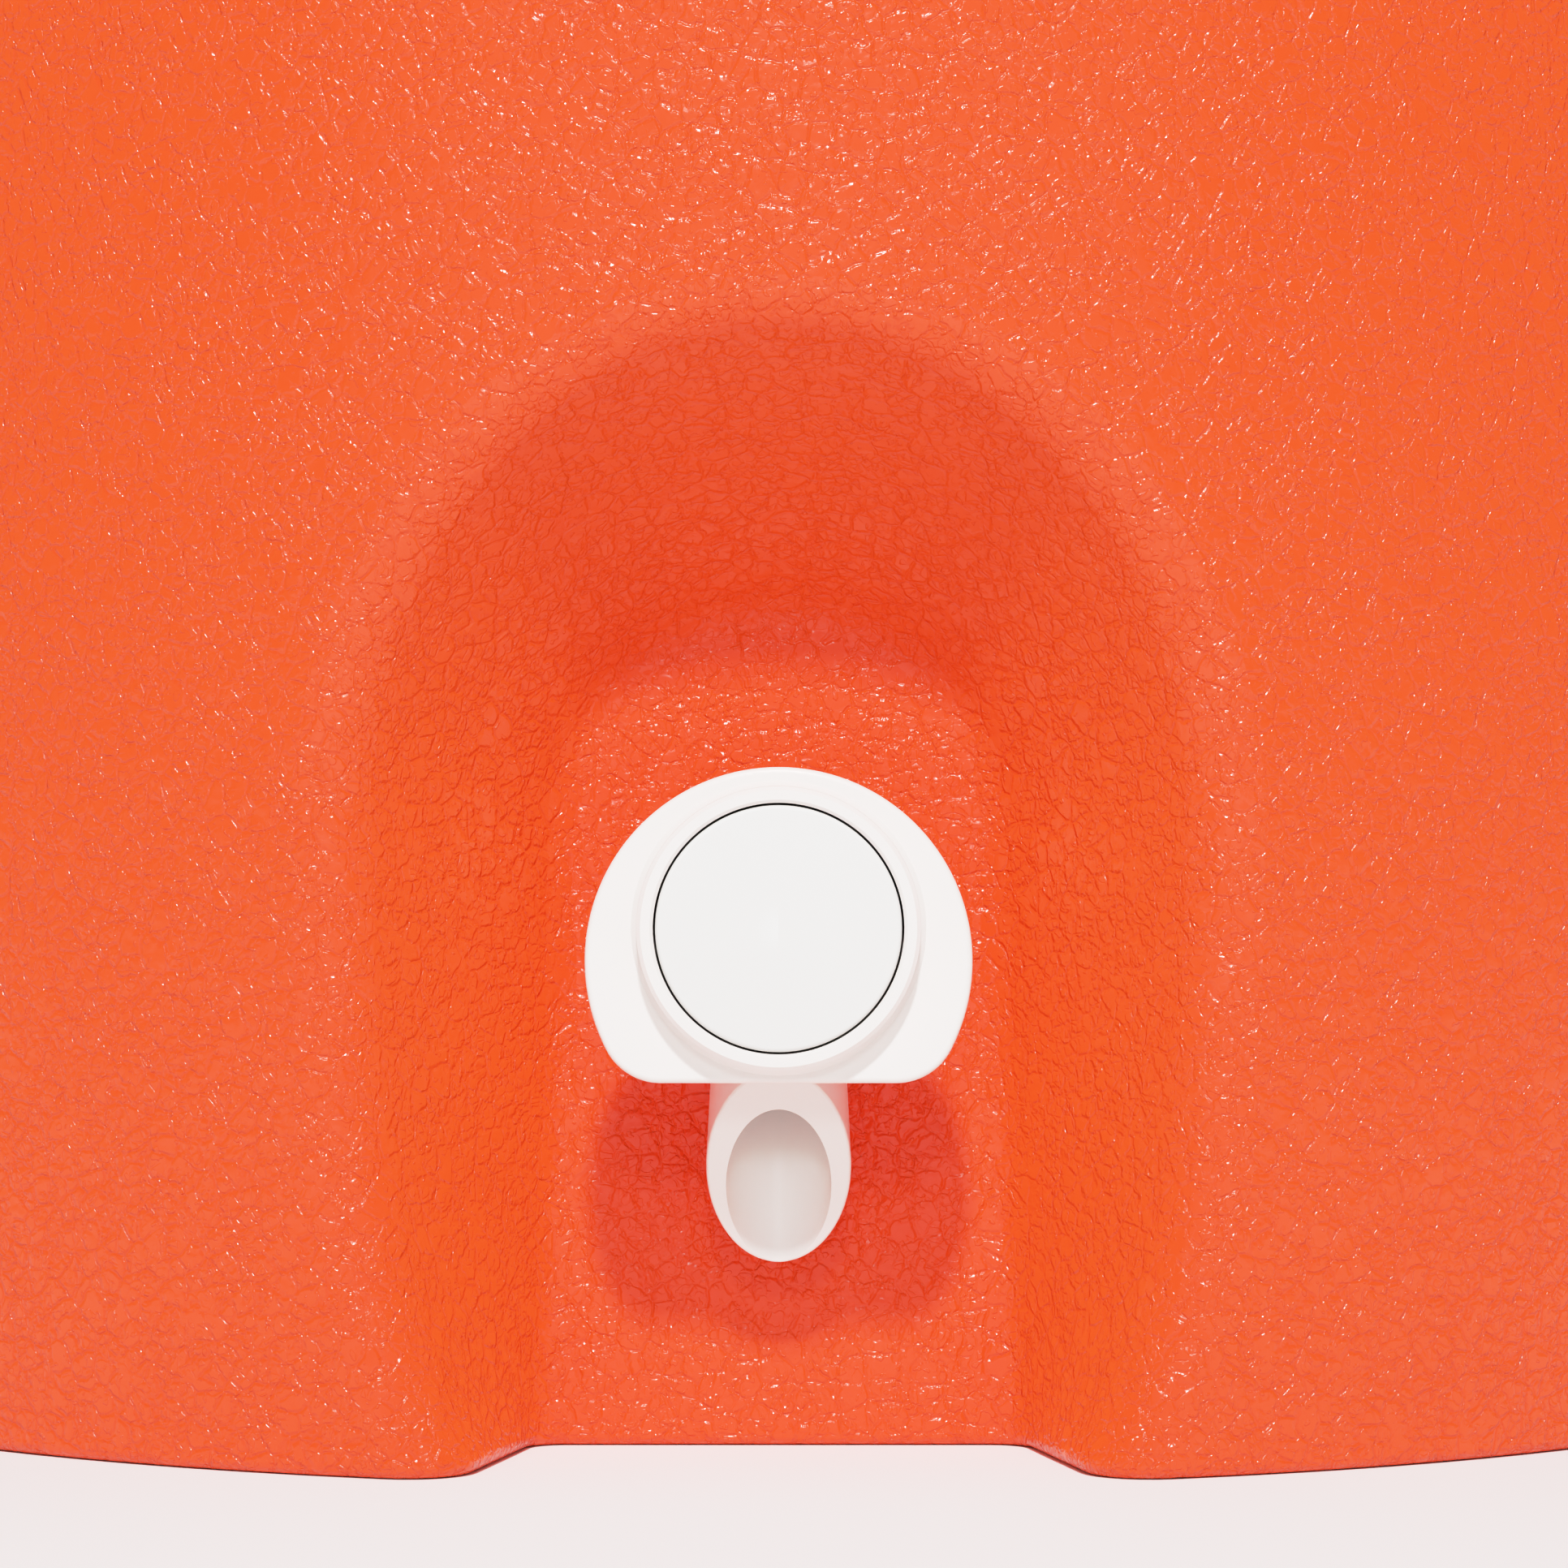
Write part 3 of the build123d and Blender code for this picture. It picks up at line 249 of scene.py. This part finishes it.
FINISHES = {
    "outer_shell": leather,
    "foam_insulation": foam,
    "inner_liner": liner_white,
    "foam_fill_plug": trim_white,
    "spigot_body": spigot_white,
    "spigot_faceplate": spigot_white,
    "spigot_outer_washer": rubber,
    "spigot_inner_washer": rubber,
    "spigot_nut": spigot_white,
    "stem_seal": rubber,
    "push_button": button_white,
    "valve_stem": spigot_white,
    "valve_seal": rubber,
    "seal_retainer": spigot_white,
    "return_spring": spring_steel,
    "handle_bracket_right": handle_grain,
    "handle_bracket_left": handle_grain,
    "bracket_screws_right": screw_steel,
    "bracket_screws_left": screw_steel,
    "handle_right": handle_grain,
    "handle_left": handle_grain,
    "handle_pins_right": trim_white,
    "handle_pins_left": trim_white,
    "pin_clips_right": trim_white,
    "pin_clips_left": trim_white,
    "lid_cover": lid_grain,
    "lid_liner": liner_white,
    "lid_foam": foam,
    "lid_gasket": rubber,
}
for name, material in FINISHES.items():
    slots = nodes[name].material_slots
    for slot in slots:
        slot.material = material
    if not slots:
        nodes[name].data.materials.append(material)


# ---------------------------------------------------------------- the spring, copied and fixed to the vessel
def spring_coil(node_name, body):
    """The return spring as a copy of its coil with a mesh of its own, fixed to the vessel in place of the
    imported part.
    """
    coil = bpy.data.objects.new("spring_coil", nodes[node_name].data.copy())
    bpy.context.scene.collection.objects.link(coil)
    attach(coil, body)
    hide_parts(node_name)
    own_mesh(coil)


spring_coil("return_spring", "vessel")


# ---------------------------------------------------------------- floor, light and camera
FLOOR_SIZE = 8
FLOOR_GAP = 0.0001


def stage_floor():
    """A plain pale floor, just clear of the base."""
    bpy.ops.mesh.primitive_plane_add(size=FLOOR_SIZE, location=(0, 0, -FLOOR_GAP))
    floor = bpy.context.object
    floor.name = "floor"
    material, tree, shader = plastic("floor_pale", 0.2)
    shader.inputs["Base Color"].default_value = (0.97, 0.97, 0.97, 1)
    shader.inputs["Roughness"].default_value = 0.8
    floor.data.materials.append(material)


def area_light(name, place_at, aim, size, power, height=None):
    """A soft light at a place, aimed at a point; it is square unless it has a height of its own."""
    data = bpy.data.lights.new(name, "AREA")
    data.shape = "RECTANGLE"
    data.size = size
    data.size_y = height or size
    data.energy = power
    light = bpy.data.objects.new(name, data)
    bpy.context.scene.collection.objects.link(light)
    light.location = place_at
    light.rotation_euler = (Vector(aim) - Vector(place_at)).to_track_quat("-Z", "Y").to_euler()


stage_floor()
LIGHT_DISTANCE = 1.6
spigot = Vector((0, PLATE_FRONT, BUTTON_BOTTOM))


def towards(elevation):
    """A place over the spigot, at an elevation in degrees from straight ahead: past 90 it is behind."""
    angle = math.radians(elevation)
    return spigot + LIGHT_DISTANCE * Vector((0, -math.cos(angle), math.sin(angle)))


WALL_DISTANCE = 1.8
WALL_CENTRE = 0.6
WALL_AIM = (0, 0, 0.2)
WALL = {"size": 3.2, "height": 1.1, "power": 5}

area_light("key_light", towards(47), spigot, size=0.11, power=27)
area_light("front_box", towards(26), spigot, size=0.20, power=4.5)
area_light("front_wall", (0, -WALL_DISTANCE, WALL_CENTRE), WALL_AIM, **WALL)
area_light("back_box", towards(145), spigot, size=0.9, power=13)
area_light("back_wall", (0, WALL_DISTANCE, WALL_CENTRE), WALL_AIM, **WALL)

world = bpy.data.worlds.new("studio")
world.use_nodes = True
background = world.node_tree.nodes["Background"]
background.inputs["Color"].default_value = (1, 1, 1, 1)
background.inputs["Strength"].default_value = 0.15
bpy.context.scene.world = world

# The picture's tone: highlights roll off softly below white.
view = bpy.context.scene.view_settings
view.view_transform = "Standard"
view.use_curve_mapping = True
WHITE_LEVEL = 2.2
COMBINED_CURVE = 3
view.curve_mapping.white_level = (WHITE_LEVEL, WHITE_LEVEL, WHITE_LEVEL)
tone = view.curve_mapping.curves[COMBINED_CURVE]
for light_in, light_out in ((0.35, 0.35), (0.70, 0.69), (1.10, 0.84), (1.50, 0.91)):
    tone.points.new(light_in / WHITE_LEVEL, light_out)
view.curve_mapping.update()

# The camera is level and looks straight at the front of the body.
VESSEL_FRONT = -0.165
CAMERA_DISTANCE = 0.690
CAMERA_SIDE = 0.0007
CAMERA_HEIGHT = 0.0894
SENSOR = 36.0
IMAGE_SIDE = 1932
FOCAL_PIXELS = 6700
camera_data = bpy.data.cameras.new("camera")
camera_data.sensor_width = SENSOR
camera_data.lens = SENSOR * FOCAL_PIXELS / IMAGE_SIDE
camera_data.clip_start = 0.01
camera = bpy.data.objects.new("camera", camera_data)
bpy.context.scene.collection.objects.link(camera)
camera.location = (CAMERA_SIDE, VESSEL_FRONT - CAMERA_DISTANCE, CAMERA_HEIGHT)
camera.rotation_euler = (math.radians(90), 0, 0)
bpy.context.scene.camera = camera
